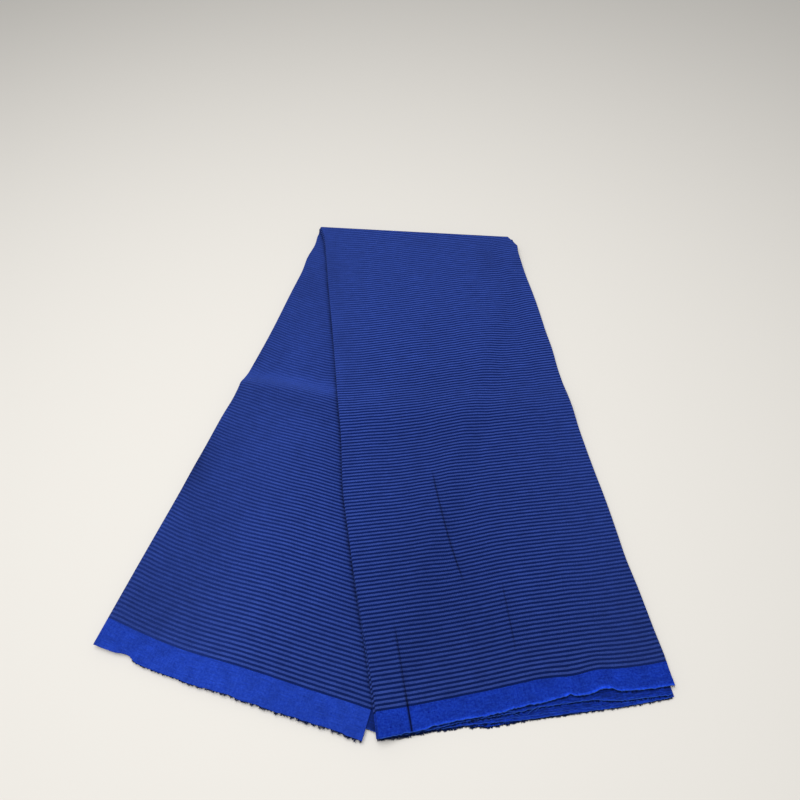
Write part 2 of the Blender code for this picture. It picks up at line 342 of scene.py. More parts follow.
# Soft lighter and darker patches of the layers that show
TONES = {
    "left": rows(
        Patch,
        (0.320, 0.070, 0.070, 0.035, 0.10), (0.424, 0.016, 0.100, 0.080, -0.10),
        (0.390, 0.020, 0.115, 0.050, 0.08), (0.505, 0.050, 0.110, 0.040, 0.09),
        (0.580, 0.070, 0.000, 0.045, -0.20), (0.780, 0.070, 0.050, 0.055, -0.19),
        (0.670, 0.080, 0.080, 0.060, -0.08), (0.620, 0.110, 0.262, 0.030, 0.08),
        (0.690, 0.200, 0.210, 0.080, 0.05), (0.850, 0.024, 0.100, 0.090, 0.14),
        (0.350, 0.050, 0.085, 0.040, 0.05), (0.452, 0.014, 0.002, 0.012, -0.12),
        (0.512, 0.018, 0.155, 0.022, -0.06), (0.480, 0.014, 0.006, 0.014, 0.09),
        (0.465, 0.024, 0.145, 0.022, 0.07), (0.345, 0.030, 0.004, 0.014, -0.10),
        (0.155, 0.035, 0.025, 0.035, -0.10), (0.675, 0.032, 0.006, 0.016, 0.09),
        (0.800, 0.030, 0.320, 0.035, 0.06), (0.850, 0.020, 0.190, 0.050, 0.06),
        (0.750, 0.060, 0.055, 0.035, 0.08), (0.575, 0.030, 0.060, 0.022, 0.06),
        (0.650, 0.045, 0.135, 0.022, 0.06), (0.790, 0.050, 0.185, 0.020, 0.05),
        (0.572, 0.040, 0.002, 0.014, -0.19)),
    "right": rows(
        Patch,
        (0.360, 0.180, 0.190, 0.400, 0.13), (0.120, 0.110, 0.000, 0.020, -0.14),
        (0.155, 0.045, 0.318, 0.025, -0.10), (0.525, 0.045, 0.140, 0.070, -0.11),
        (0.640, 0.110, 0.012, 0.035, 0.09), (0.640, 0.110, 0.370, 0.040, 0.08),
        (0.790, 0.130, 0.310, 0.095, 0.12), (0.780, 0.120, 0.105, 0.070, -0.05),
        (0.905, 0.040, 0.190, 0.400, 0.09), (0.860, 0.080, 0.000, 0.040, 0.06),
        (0.180, 0.110, 0.000, 0.016, -0.09), (0.270, 0.060, 0.062, 0.030, 0.05),
        (0.330, 0.060, 0.178, 0.026, -0.06), (0.150, 0.060, 0.322, 0.022, -0.05),
        (0.430, 0.030, 0.170, 0.070, -0.09), (0.448, 0.024, 0.050, 0.032, 0.13),
        (0.785, 0.030, 0.222, 0.022, 0.07), (0.915, 0.028, 0.040, 0.035, 0.15),
        (0.320, 0.024, 0.006, 0.012, -0.18), (0.545, 0.028, 0.004, 0.012, -0.11),
        (0.515, 0.030, 0.285, 0.060, -0.06), (0.438, 0.018, 0.300, 0.026, -0.06),
        (0.080, 0.030, 0.200, 0.030, -0.06), (0.790, 0.045, 0.060, 0.070, 0.05),
        (0.470, 0.016, 0.235, 0.020, 0.08), (0.645, 0.050, 0.060, 0.035, 0.05),
        (0.700, 0.060, 0.004, 0.020, 0.06), (0.924, 0.006, 0.1665, 0.0022, -0.22),
        (0.918, 0.004, 0.226, 0.006, -0.18)),
}

# Warp ends that stick out of the raw edges, from the innermost layer on: from how far across, how
# long they are there and at the right side, what share of that the shortest are, how close they
# are, and how far they fall
Fringe = namedtuple("Fringe", "side layer start length end_length least spacing drop")
FRINGES = rows(
    Fringe,
    ("left", 0, 0.055, 0.0010, 0.0042, 0.05, 0.00032, 0.0012),
    ("left", 1, 0.000, 0.0016, 0.0016, 0.30, 0.00080, 0.0016),
    ("left", 2, 0.000, 0.0016, 0.0016, 0.30, 0.00120, 0.0010),
    ("left", 3, 0.000, 0.0016, 0.0016, 0.30, 0.00120, 0.0004),
    ("right", 0, 0.000, 0.0032, 0.0024, 0.45, 0.00030, 0.0004),
    ("right", 1, 0.000, 0.0028, 0.0026, 0.35, 0.00040, 0.0010),
    ("right", 2, 0.000, 0.0030, 0.0026, 0.30, 0.00060, 0.0012),
    ("right", 3, 0.000, 0.0026, 0.0026, 0.30, 0.00060, 0.0012),
)
FRAY_SEED = 7
FRAY_SPACING = 0.0010
FRAY_PLACES = (0.2, 0.8)
FRAY_LENGTHS = (0.75, 1.15)
FRAY_LEAN = 0.45
FRAY_ROOT = 0.0012
FRAY_FALL = 0.0030
FRAY_PARTS = (0.3, 0.65, 1.0)
FRAY_TAPER = (1.0, 1.0, 0.85, 0.45)
FRAY_SIDES = 3
TUFT_LENGTH = 0.0042
TUFT_SWING = 2.2
EDGE_LOOK_BACK = 0.0015
SIDE_ROWS = {"left": 4.0, "right": 5.0}

# The last wefts that show, from the innermost layer on, how far past the raw edge each lies and
# its share of a full yarn
EdgeWeft = namedtuple("EdgeWeft", "side layer past share")
EDGE_WEFTS = rows(
    EdgeWeft,
    ("right", 3, 0.0, 1.0),
    ("right", 2, 0.0, 0.9),
    ("right", 1, 0.0, 0.6),
    ("right", 1, -0.0035, 0.5),
    ("left", 1, 0.0, 0.6),
)
WEFT_SEED = 11
WEFT_STEP = 0.0016
WEFT_WAVE = 0.0011
WEFT_WAVE_LENGTH = 0.0065
WEFT_JITTER = 0.00035
WEFT_LIFT = 0.00055
WEFT_LIFT_ROW = Vector((0.0, 0.0, 9.0))
WEFT_THICKNESS = (0.7, 1.2)
WEFT_SIDES = 5

# Pulled threads at the raw end of the right leg: on which layer and where they start, how far
# they go across and out, and how high they arch
LooseThread = namedtuple("LooseThread", "layer across go_across go_out arch")
LOOSE_THREADS = rows(
    LooseThread,
    (2, 0.1700, 0.0125, 0.0066, 0.0006),
    (2, 0.2040, -0.0145, 0.0062, 0.0006),
    (2, 0.2090, -0.0080, 0.0040, 0.0004),
    (3, 0.1600, 0.0140, 0.0036, 0.0008),
)
LOOSE_STEPS = 9
LOOSE_DROP = 0.0024
LOOSE_CURVE = 1.5
LOOSE_SIDES = 4
FLOOR_CLEARANCE = 0.0004
LEAST_CROSS = 1e-6

# The weave, in stripes along the cloth and threads across it
STRIPES = 320
STRIPE_PITCH = 0.00554
THREAD_SPACING = 0.00118
PICKS = 6
DARK_SHARE = 0.51
STRIPE_EDGE = 0.035
TEETH = 0.045
WANDER_SCALE = 140.0
WANDER = 0.16
BAND_LEVEL = 0.7
CROSSING_SHARE = 0.35
DIP_SPAN = (0.1, 0.7)
DIP_SHADE = 0.30

# The yarn's shade: each pick's own, wandering along it, and slubs in the stripes
NOISE_SPAN = (0.25, 0.75)
PICK_STRETCH = 40.0
PICK_SWING = 0.18
YARN_FINE = 900.0
YARN_BROAD = 60.0
FINE_SHARE = 0.6
YARN_SWING = 4.0
CLOTH_UNEVEN = 0.16
BAND_UNEVEN = 0.22
LOOSE_UNEVEN = 0.3
SLUB_STRETCH = 450.0
SLUB_WEIGHTS = (1.8, 1.0, 0.95)

# Streaks, mottling and flecks of the end bands, with weights for red, green and blue
STREAK_ACROSS = 700.0
STREAK_ALONG = 0.05
STREAK = 0.6
MOTTLE_SCALE = 330.0
MOTTLE = 0.175
FLECK_SCALE = 420.0
FLECK_SPAN = (0.64, 0.76)
FLECK = 0.45
LEFT_SPOTS = 1.0
RIGHT_SPOTS = 1.8
BAND_WEIGHTS = (1.6, 1.0, 0.45)

# Where wefts are missing
MISSING_ACROSS = 70.0
MISSING_ALONG = 4.5
MISSING_SPAN = (0.36, 0.62)

# Surfaces
CLOTH_ROUGHNESS = 0.9
CLOTH_SPECULAR = 0.08
CLOTH_SHEEN = 0.10
CLOTH_SHEEN_ROUGHNESS = 0.5
FLOOR_ROUGHNESS = 0.95
FLOOR_SPECULAR = 0.1
FLOOR_DEPTH = 0.0003

# The softbox
KEY_PLACE = (-0.25, -0.20, 2.05)
KEY_COLOUR = (1.0, 0.985, 0.96)

# The camera that the photograph was taken with, as fitted to the outline
PHOTO_PIXELS = 800
FOCAL_PIXELS = 600
SENSOR_WIDTH = 36.0
CAMERA_PLACE = (0.0573, -0.5270, 0.8479)
CAMERA_HEADING = math.radians(-5.911)
CAMERA_PITCH = math.radians(55.628)
CAMERA_ROLL = math.radians(1.640)


def mix(low, high, share):
    return low + (high - low) * share


def eased(share):
    share = min(max(share, 0.0), 1.0)
    return share * share * (3.0 - 2.0 * share)


def ramp(place, start, run):
    """Eased from nought at the start to one a run further on."""
    return eased((place - start) / run)


def hump(place, crest, far, near):
    """A rounded ridge that falls to nothing at its two sides."""
    side = far if place < crest else near
    share = min(abs(place - crest) / side, 1.0)
    return math.cos(share * math.pi / 2) ** 2


def bell(distance, half_width):
    return math.exp(-(distance / half_width) ** 2)


def bell_sum(bells, across, field):
    """What one field of soft bells adds up to at a place across."""
    return sum(getattr(b, field) * bell(across - b.across, b.half_width) for b in bells)


def patch_sum(patches, across, along):
    """What soft patches add up to at a place."""
    return sum(p.amount * bell(along - p.along, p.run) * bell(across - p.across, p.half_width)
               for p in patches)


# The lines across the pack

def along_stations(values, place):
    """The value at a signed place along the cloth, eased from station to station."""
    if place <= STATIONS[0]:
        return values[0]
    for low, high, start, end in zip(values, values[1:], STATIONS, STATIONS[1:]):
        if place <= end:
            return mix(low, high, eased((place - start) / (end - start)))
    return values[-1]


def corner_cut(from_crease):
    """How far an outer layer is cut back beside the crease."""
    if from_crease > CORNER_STEP_AT:
        return 0.0
    return mix(CORNER_CUT, CORNER_STEP, from_crease / CORNER_STEP_AT)


def line_place(line, place):
    """How far across the pack a fold or selvedge lies."""
    across = along_stations(line[1:1 + len(STATIONS)], place)
    side, outward = ("left", -1.0) if line.name in LEFT_LINES else ("right", 1.0)
    across += outward * sum(b.out * bell(place - b.place, b.half_width) for b in BULGES[side])
    if line.name in CUT_LINES:
        across -= corner_cut(abs(place * COSINE - across * SINE))
    return across


# The zigzag of the layers. A column runs the length of the cloth between two lines of the pack, at
# its share of the way across and at its level. On a fold it has a turn instead of a share

Column = namedtuple("Column", "first last share level turn")


def layer_shares(layer):
    """Shares of the way across a layer where its columns stand, closer beside its creases."""
    steps = LAYER_COLUMNS[layer]
    places = [LAYER_WIDTH * step / steps for step in range(steps + 1)]
    if layer == OUTER:
        for crease in CREASES:
            middle = crease_middle(crease)
            reach = CREASE_COLUMNS[-1]
            places = [place for place in places if abs(place - middle) > reach + reach * COLUMN_CLEAR]
            places += [middle + side * gap for gap in CREASE_COLUMNS for side in (-1, 1) if gap or side > 0]
        for first, last in PUCKER_SPANS:
            low, high = first - PUCKER_STEP / 2, last + PUCKER_STEP / 2
            places = [place for place in places if not low < place < high]
            steps = round((last - first) / PUCKER_STEP)
            places += [mix(first, last, step / steps) for step in range(steps + 1)]
        places.append(LAYER_WIDTH - SELVEDGE_COLUMN)
    if layer == INNER:
        places.append(SELVEDGE_COLUMN)
    return [place / LAYER_WIDTH for place in sorted(places)]


def section_columns():
    """The columns of the sheet, from the inner selvedge through the folds to the outer one."""
    columns = []
    for layer in range(LAYERS):
        columns += [Column(layer, layer + 1, share, float(layer), None) for share in layer_shares(layer)]
        if layer < OUTER:
            for step in range(1, FOLD_COLUMNS):
                turn = math.pi * step / FOLD_COLUMNS
                level = layer + 0.5 * (1 - math.cos(turn))
                columns.append(Column(layer + 1, layer + 1, 0.0, level, turn))
    return columns


def crease_middle(crease):
    return (crease.from_across + crease.to_across) / 2


def crease_across(crease, along):
    share = min(max((along - crease.start) / (crease.end - crease.start), 0.0), 1.0)
    return mix(crease.from_across, crease.to_across, share ** crease.curve)


def column_pull(share, start, end, place):
    """How far columns of the outer layer are drawn sideways, so that they run along the creases."""
    pull = 0.0
    for crease in CREASES:
        middle = crease_middle(crease)
        away = abs(share * LAYER_WIDTH - middle) / COLUMN_PULL
        pull += (crease_across(crease, place) - mix(start, end, middle / LAYER_WIDTH)) * (1.0 - eased(away))
    return pull


def section_place(column, place):
    """Across, height in the pack and the sheet's direction there, for a column of the section."""
    start = line_place(CROSS_LINES[column.first], place)
    radius = LEVEL / 2
    heading = -1.0 if column.first % 2 == 0 else 1.0
    if column.turn is None:
        end = line_place(CROSS_LINES[column.last], place)
        start += heading * radius if column.first != 0 else 0.0
        end -= heading * radius if column.last != LAYERS else 0.0
        across = mix(start, end, column.share)
        if column.first == OUTER and place > 0:
            across += column_pull(column.share, start, end, place)
        return across, column.level * LEVEL, (0.0, heading)
    # On a fold the sheet turns back, away from the layer that it ends
    across = start + heading * radius - heading * radius * math.sin(column.turn)
    return across, column.level * LEVEL, (math.sin(column.turn), -heading * math.cos(column.turn))


# How the raw ends run

def end_wave(column, across, side):
    """Uneven cutting and pulled threads along one layer's raw end."""
    row = LAYER_ROW * round(column.level) + (LEFT_ROW if side == "left" else 0.0)
    long_wave = noise.noise(Vector((across / END_WAVE_LENGTH, row, 0.0)))
    ripple = noise.noise(Vector((across / END_RIPPLE_LENGTH, row, RIPPLE_ROW)))
    return END_WAVE * long_wave + END_RIPPLE * ripple


def end_reach(column, across, side):
    """How far along its leg a column of the cloth reaches."""
    layer = column.last - 1
    places = ENDS[side][layer]
    if column.turn is not None:
        return places[-1 if layer % 2 else 0].reach + end_wave(column, across, side)
    reach = places[-1].reach
    for before, after in zip(places, places[1:]):
        if across <= after.across:
            share = ramp(across, before.across, after.across - before.across)
            reach = mix(before.reach, after.reach, share)
            break
    reach -= bell_sum([nick for nick in NICKS if (nick.side, nick.layer) == (side, layer)], across, "pull")
    if side == "right" and layer == OUTER:
        reach -= bell_sum(PUCKERS, across, "pull")
    return reach + end_wave(column, across, side)


def band_start(column, side):
    """How far along its leg a column's stripes run before the plain end band."""
    low, high = (getattr(CROSS_LINES[i], side + "_band") for i in (column.first, column.last))
    return mix(low, high, eased(column.share))


# How high the layers stand

def leg_places(cross, out):
    """(across, along) on the left leg and on the right leg, of a point of the surface."""
    left = (cross * COSINE + out * SINE, out * COSINE - cross * SINE)
    right = (cross * COSINE - out * SINE, out * COSINE + cross * SINE)
    return left, right


def left_rise(cross, out, ridge=LEFT_RIDGE):
    """How far the innermost layer of the left leg is lifted: its old fold, and the loft below it."""
    (across, along), (covered, _) = leg_places(cross, out)
    crest = ridge.at + ridge.lean * across
    fold = hump(along, crest, ridge.far, ridge.near)
    if along < crest:
        rise = (ridge.rise + LEFT_LOFT) * fold
    else:
        rise = ridge.rise * fold + LEFT_LOFT * eased((LEFT_END - along) / (LEFT_END - crest))
    rise *= mix(EDGE_SHARE, 1.0, eased(across / EDGE_RUN))
    rise *= 1.0 - COVERED_LOSS * ramp(covered, *COVERED_SPAN)
    rise *= 1.0 - ramp(across, *HIDDEN_SPAN)
    return rise


def right_rise(cross, out, share):
    """How far the right leg stands off its flat place. share is 1 for its outermost layer."""
    (hidden, _), (across, along) = leg_places(cross, out)
    rise = left_rise(cross, out, OVER_RIDGE)
    crest = RIGHT_RIDGE.at + RIGHT_RIDGE.lean * across
    rise += share * RIGHT_RIDGE.rise * hump(along, crest, RIGHT_RIDGE.far, RIGHT_RIDGE.near)
    swell = SWELL_RISE * hump(across, SWELL_ACROSS, SWELL_SIDE, SWELL_SIDE)
    swell *= ramp(along, SWELL_FROM, SWELL_FADE) * eased((SWELL_TO - along) / SWELL_FADE)
    rise += share * swell
    rise += crease_puff(cross) * (1.0 - eased(along / PUFF_LEG))
    rise -= DROP * ramp(hidden, *DROP_SPAN)
    return rise


def crease_puff(cross):
    """How much higher than its neatest fold the crease stands, most at its left end."""
    return PUFF * (1.0 - min(max(cross / PUFF_ACROSS, 0.0), 1.0))


def spring(across, along):
    """How many times thicker the pack is near its folded left edge, away from the crease."""
    near_fold = 1.0 - eased(across / SPRING_RUN)
    return 1.0 + SPRING * near_fold * ramp(along, *SPRING_SPAN)


def soft_wave(across, along, leg):
    """Slight lengthwise waves of a layer that shows, and its half fold."""
    place = Vector((across / SOFT_WAVE_ACROSS, along / SOFT_WAVE_ALONG, leg))
    wave = SOFT_WAVE * (0.5 + 0.5 * noise.noise(place))
    half_fold = HALF_FOLD_RISE * bell(across - HALF_FOLD_ACROSS, HALF_FOLD_SIDE)
    return (wave + half_fold) * eased(along / SOFT_WAVE_RUN)


def crease_length(crease, along):
    """A crease is whole along its length and fades out at both ends."""
    return ramp(along, crease.start, CREASE_FADE) * eased((crease.end - along) / CREASE_FADE)


def crease_relief(across, along):
    """The creases of the outer layer: each stands up at its left and drops into a narrow trough."""
    relief = 0.0
    for crease in CREASES:
        away = across - crease_across(crease, along)
        length = crease_length(crease, along)
        relief += length * crease.shoulder * bell(away, SHOULDER_LEFT if away < 0.0 else SHOULDER_RIGHT)
        relief -= length * crease.depth * bell(away, crease.half_width)
    return relief


def raw_edge_relief(across, along, reach):
    """The raw edge of the outer layer curls up a little and stands up at its puckers."""
    curl = EDGE_CURL * eased(1.0 - (reach - along) / EDGE_CURL_RUN)
    return curl + eased(1.0 - (reach - along) / PUCKER_RUN) * bell_sum(PUCKERS, across, "rise")


def sheet_point(column, place, offset=0.0):
    """A point of the sheet in the solid's frame, offset from the middle of its thickness."""
    across, height, (rise, run) = section_place(column, place)
    across -= rise * offset
    lift = run * offset
    cross = across * COSINE + place * SINE
    from_crease = place * COSINE - across * SINE
    middle = INNER_RADIUS + column.level * LEVEL
    half_bend = middle * math.pi / 2
    share = column.level / OUTER
    out = abs(from_crease) - half_bend + CREASE_HEIGHT
    if from_crease > half_bend:
        _, (leg_across, along) = leg_places(cross, out)
        base = CREASE_HEIGHT + INNER_RADIUS
        z = base + height * spring(leg_across, along) + lift + right_rise(cross, out, share)
        if column.level > OUTER - 1:
            relief = crease_relief(leg_across, place) + soft_wave(leg_across, along, 1.0)
            if column.first == OUTER:
                relief += raw_edge_relief(leg_across, place, end_reach(column, across, "right"))
            z += (column.level - (OUTER - 1)) * relief
    elif from_crease < -half_bend:
        (leg_across, along), _ = leg_places(cross, out)
        z = SHEET / 2 + (PACK - height) * spring(leg_across, along) - lift
        z += (1.0 - share) * left_rise(cross, out)
        if column.level < 1.0:
            z += (1.0 - column.level) * soft_wave(leg_across, along, 0.0)
    else:
        radius = INNER_RADIUS + height + lift
        turn = from_crease / middle
        out = CREASE_HEIGHT - radius * math.cos(turn)
        z = CREASE_HEIGHT + radius * math.sin(turn) + crease_puff(cross) * (1.0 + math.sin(turn)) / 2
    return Vector((CREASE_LEFT + cross, CREASE_BACK - out, z))


# How the material looks at each point

def shown_side(column, place):
    """Which leg shows at a point, if one does."""
    if column.level > OUTER - 1 and place > 0:
        return "right"
    if column.level < 1.0 and place < 0:
        return "left"
    return None


def contact_gap(across, place):
    """How far to the left of the right leg's folded edge a point of the left leg lies."""
    cross = across * COSINE + place * SINE
    out = CREASE_HEIGHT - INNER_RADIUS * math.pi / 2 + across * SINE - place * COSINE
    _, (covered, along) = leg_places(cross, out)
    return line_place(CROSS_LINES[OUTER], max(along, 0.0)) - covered


def rim_highlight(across, from_end):
    """How much a painted highlight lightens a raw edge."""
    return 1.0 + RIM_HIGHLIGHT * bell(from_end, RIM_RUN) * ramp(across, *RIM_SPAN)


def pucker_sum(across):
    """How near a place across the right leg is to a pucker."""
    return min(sum(bell(across - p.across, p.half_width) for p in PUCKERS), 1.0)


def painted_crease_shade(crease, across, along):
    """How far painted shade darkens a crease's line at a place."""
    deep = ramp(along, crease.deep_from, CREASE_FADE)
    shade = mix(crease.shade, crease.deep_shade, deep) * crease_length(crease, along)
    half_width = mix(crease.half_width, crease.deep_half_width, deep)
    return shade * bell(across - crease_across(crease, along), half_width)


def shading(column, place, from_end):
    """How light the yarns look: painted shade in creases, under the upper leg's edge and on the lower leg's
    hidden layers, lower layers a little darker by the upper leg's raw end, painted highlights and painted
    light on the upper leg, and soft tone patches.
    """
    across = section_place(column, place)[0]
    side = shown_side(column, place)
    rim = rim_highlight(across, from_end)
    if side is None:
        if place < 0:
            return 1.0 - COVERED_SHADE
        return mix(1.0, rim, LOWER_RIM_HIGHLIGHT) * (1.0 - LOWER_SHADE * (1.0 - eased(from_end / LOWER_REACH)))
    tone = 1.0 + patch_sum(TONES[side], across, abs(place))
    if side == "left":
        return (1.0 - CONTACT_SHADE * bell(contact_gap(across, place), CONTACT_SIDE)) * tone
    dark = min(max(painted_crease_shade(crease, across, place) for crease in CREASES), 1.0)
    light = mix(UPPER_PAINTED_LIGHT, LOWER_PAINTED_LIGHT, ramp(place, *PAINTED_LIGHT_SPAN))
    light *= 1.0 + PUCKER_HIGHLIGHT * bell(from_end, PUCKER_HIGHLIGHT_RUN) * pucker_sum(across)
    return (1.0 - dark) * light * rim * tone


def behind_ridge(across, along):
    """How far a point of the lower leg lies in the strip just behind its ridge, where the stripes are faded
    and carry painted sheen.
    """
    crest = LEFT_RIDGE.at + LEFT_RIDGE.lean * across
    strip = bell(along - (crest - STRIP_BACK), STRIP_RUN)
    return strip * (1.0 - ramp(along, crest - STRIP_END, STRIP_STOP))


def fading_and_painted_sheen(column, place, kind):
    """How far the stripes have faded into one another, or how much paler a painted sheen makes them."""
    across = section_place(column, place)[0]
    if shown_side(column, place) == "left":
        fading_sheen = kind.lower - kind.inward * ramp(across, kind.inward_from, kind.inward_run)
        fading_sheen += kind.ridge * behind_ridge(across, -place)
        return min(fading_sheen + kind.crease * (1.0 - eased(-place / CREASE_FADING_SHEEN_RUN)), 1.0)
    if column.level > OUTER - 1:
        fading_sheen = kind.top * (1.0 - eased(place / kind.top_run))
        fading_sheen += kind.fold * bell(across, kind.fold_side) * (1.0 - ramp(place, kind.fold_from, kind.fold_run))
        return fading_sheen + kind.outer * ramp(across, *OUTER_FADING_SHEEN_ACROSS) * ramp(place, *OUTER_FADING_SHEEN_ALONG)
    return 0.0


def fraying(column, place, from_end):
    """How far the wefts are missing, by the raw ends of the layers that lie under the top one."""
    if shown_side(column, place):
        return 0.0
    return MISSING_SHARE * (1.0 - ramp(from_end, *FRAYING_SPAN))


def vertex_marks(column, place, from_end):
    """What the material is told of a point, in the order of MARKS."""
    return (shading(column, place, from_end), fading_and_painted_sheen(column, place, FADING),
            fading_and_painted_sheen(column, place, PAINTED_SHEEN), fraying(column, place, from_end))


# The rows of the sheet, and the weave's place on them

def column_places(column):
    """Signed places of one column's points, from the left raw end to the right one."""
    radius = INNER_RADIUS + column.level * LEVEL
    taken = radius * math.pi / 2 - CREASE_HEIGHT
    nominal = section_place(column, 0.0)[0]
    crease_at = nominal * math.tan(SLANT)
    bend = radius * math.pi / 2 / COSINE
    corner = [crease_at + (CORNER_STEP_AT + step) / COSINE for step in STEP_ROWS]
    turned = [crease_at + mix(-bend, bend, step / BEND_ROWS) for step in range(BEND_ROWS + 1)]

    def leg_rows(side, place, runs):
        reach = end_reach(column, nominal, side) + taken * COSINE
        places = []
        for run in runs:
            goal = reach - END_ROWS[0] if run.to is None else run.to
            places += [mix(place, goal, step / run.rows) for step in range(1, run.rows + 1)]
            place = goal
        return places + [reach - short for short in END_ROWS[1:]]

    left = leg_rows("left", bend - crease_at, LEFT_ROWS)
    return [-place for place in reversed(left)] + turned + corner + leg_rows("right", corner[-1], RIGHT_ROWS)


def length_at(places, lengths, place):
    """The length of cloth from the left raw end to a signed place on a column."""
    after = min(max(bisect_left(places, place), 1), len(places) - 1)
    share = (place - places[after - 1]) / (places[after] - places[after - 1])
    return mix(lengths[after - 1], lengths[after], share)


def stripe_places(column, places):
    """How many stripes into the cloth each point of a column is, from where the left band ends."""
    points = [sheet_point(column, place) for place in places]
    lengths = [0.0]
    for point, after in zip(points, points[1:]):
        lengths.append(lengths[-1] + (after - point).length)
    start = length_at(places, lengths, -band_start(column, "left"))
    end = length_at(places, lengths, band_start(column, "right"))
    stripes = [(STRIPES + DARK_SHARE) * (length - start) / (end - start) for length in lengths]
    return [stripe - weft_pull(column, place) / STRIPE_PITCH for stripe, place in zip(stripes, places)]


def weft_pull(column, place):
    """How far the wefts of a layer that shows are drawn towards the right raw end."""
    side = shown_side(column, place)
    if side is None:
        return 0.0
    pull = patch_sum(BOWS[side], section_place(column, place)[0], abs(place))
    return pull if side == "right" else -pull


def thread_places(columns):
    """How far across the unfolded cloth each column is."""
    places, place, before = [], 0.0, None
    for column in columns:
        if before is not None:
            if column.turn is None and before.turn is None:
                place += (column.share - before.share) * (LAYER_WIDTH - LEVEL)
            else:
                place += math.pi * LEVEL / 2 / FOLD_COLUMNS
        places.append(place)
        before = column
    return places


# The sheet

def build_sheet():
    """The whole cloth as one closed sheet, with its weave's places as the UV map."""
    columns = section_columns()
    rows_of_columns = [column_places(column) for column in columns]
    threads = thread_places(columns)
    mesh = bmesh.new()
    weave = {}
    marks = [mesh.verts.layers.float.new(name) for name in MARKS]
    grids = ([], [])
    for column, places, thread in zip(columns, rows_of_columns, threads):
        stripes = stripe_places(column, places)
        looks = [vertex_marks(column, place, min(place - places[0], places[-1] - place)) for place in places]
        for grid, side in zip(grids, (1.0, -1.0)):
            grid.append([])
            for place, stripe, look in zip(places, stripes, looks):
                point = mesh.verts.new(sheet_point(column, place, side * SHEET / 2))
                weave[point] = (thread, stripe)
                for mark, value in zip(marks, look):
                    point[mark] = value
                grid[-1].append(point)
    join_faces(mesh, *grids)
    layer = mesh.loops.layers.uv.new("weave")
    for face in mesh.faces:
        for loop in face.loops:
            loop[layer].uv = weave[loop.vert]
    return finished(mesh)


def join_faces(mesh, near, far):
    """Faces of both sides of the sheet and of its rim."""
    last_column, last_row = len(near) - 1, len(near[0]) - 1
    for i in range(last_column):
        for j in range(last_row):
            mesh.faces.new((near[i][j], near[i][j + 1], near[i + 1][j + 1], near[i + 1][j]))
            mesh.faces.new((far[i][j], far[i + 1][j], far[i + 1][j + 1], far[i][j + 1]))
        for j in (0, last_row):
            mesh.faces.new((near[i][j], near[i + 1][j], far[i + 1][j], far[i][j]))
    for i in (0, last_column):
        for j in range(last_row):
            mesh.faces.new((near[i][j], near[i][j + 1], far[i][j + 1], far[i][j]))


def finished(mesh):
    bmesh.ops.recalc_face_normals(mesh, faces=mesh.faces)
    for face in mesh.faces:
        face.smooth = True
    return mesh


def add_object(name, data):
    made = bpy.data.objects.new(name, data)
    bpy.context.scene.collection.objects.link(made)
    return made


def add_mesh(name, mesh, material):
    data = bpy.data.meshes.new(name)
    mesh.to_mesh(data)
    mesh.free()
    data.materials.append(material)
    return add_object(name, data)


def place_piece(name, mesh, material):
    """A new piece of the cloth, which moves with the part's body."""
    piece = add_mesh(name, mesh, material)
    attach(piece, "root")
    return piece


# Frayed raw ends

RawEdge = namedtuple("RawEdge", "thread point outward")


def raw_edges(side):
    """Each layer's raw end on one leg, as points along the cut with the way that it faces."""
    runs = [[] for _ in range(LAYERS)]
    columns = section_columns()
    for column, thread in zip(columns, thread_places(columns)):
        if column.turn is None:
            end = column_places(column)[0 if side == "left" else -1]
            inward = end + EDGE_LOOK_BACK if side == "left" else end - EDGE_LOOK_BACK
            point = sheet_point(column, end)
            outward = (point - sheet_point(column, inward)).normalized()
            runs[column.first].append(RawEdge(thread, point, outward))
    return runs


def edge_at(edges, thread):
    """The raw edge at a place across the unfolded cloth."""
    after = min(max(bisect_left(edges, thread, key=lambda edge: edge.thread), 1), len(edges) - 1)
    before, next_edge = edges[after - 1], edges[after]
    share = (thread - before.thread) / (next_edge.thread - before.thread)
    point = before.point.lerp(next_edge.point, share)
    return RawEdge(thread, point, before.outward.lerp(next_edge.outward, share).normalized())


def edge_across(edges, layer, across):
    """The raw edge at a place across its layer, from the leg's left side."""
    share = across / LAYER_WIDTH
    return edge_at(edges, mix(edges[0].thread, edges[-1].thread, 1.0 - share if layer % 2 == 0 else share))


def add_yarn(mesh, points, radii, sides):
    """A thin yarn through the points, closed at both ends."""
    rings = []
    for i, (point, radius) in enumerate(zip(points, radii)):
        ahead = (points[min(i + 1, len(points) - 1)] - points[max(i - 1, 0)]).normalized()
        across = ahead.cross(UP)
        across = across.normalized() if across.length > LEAST_CROSS else Vector((1.0, 0.0, 0.0))
        up = across.cross(ahead)
        turns = [math.tau * side / sides for side in range(sides)]
        rings.append([mesh.verts.new(point + radius * (across * math.cos(turn) + up * math.sin(turn)))
                      for turn in turns])
    for ring, after in zip(rings, rings[1:]):
        for side in range(sides):
            beside = (side + 1) % sides
            mesh.faces.new((ring[side], ring[beside], after[beside], after[side]))
    mesh.faces.new(rings[0][::-1])
    mesh.faces.new(rings[-1])


def above_floor(point, radius):
    return Vector((point.x, point.y, max(point.z, radius + FLOOR_CLEARANCE)))


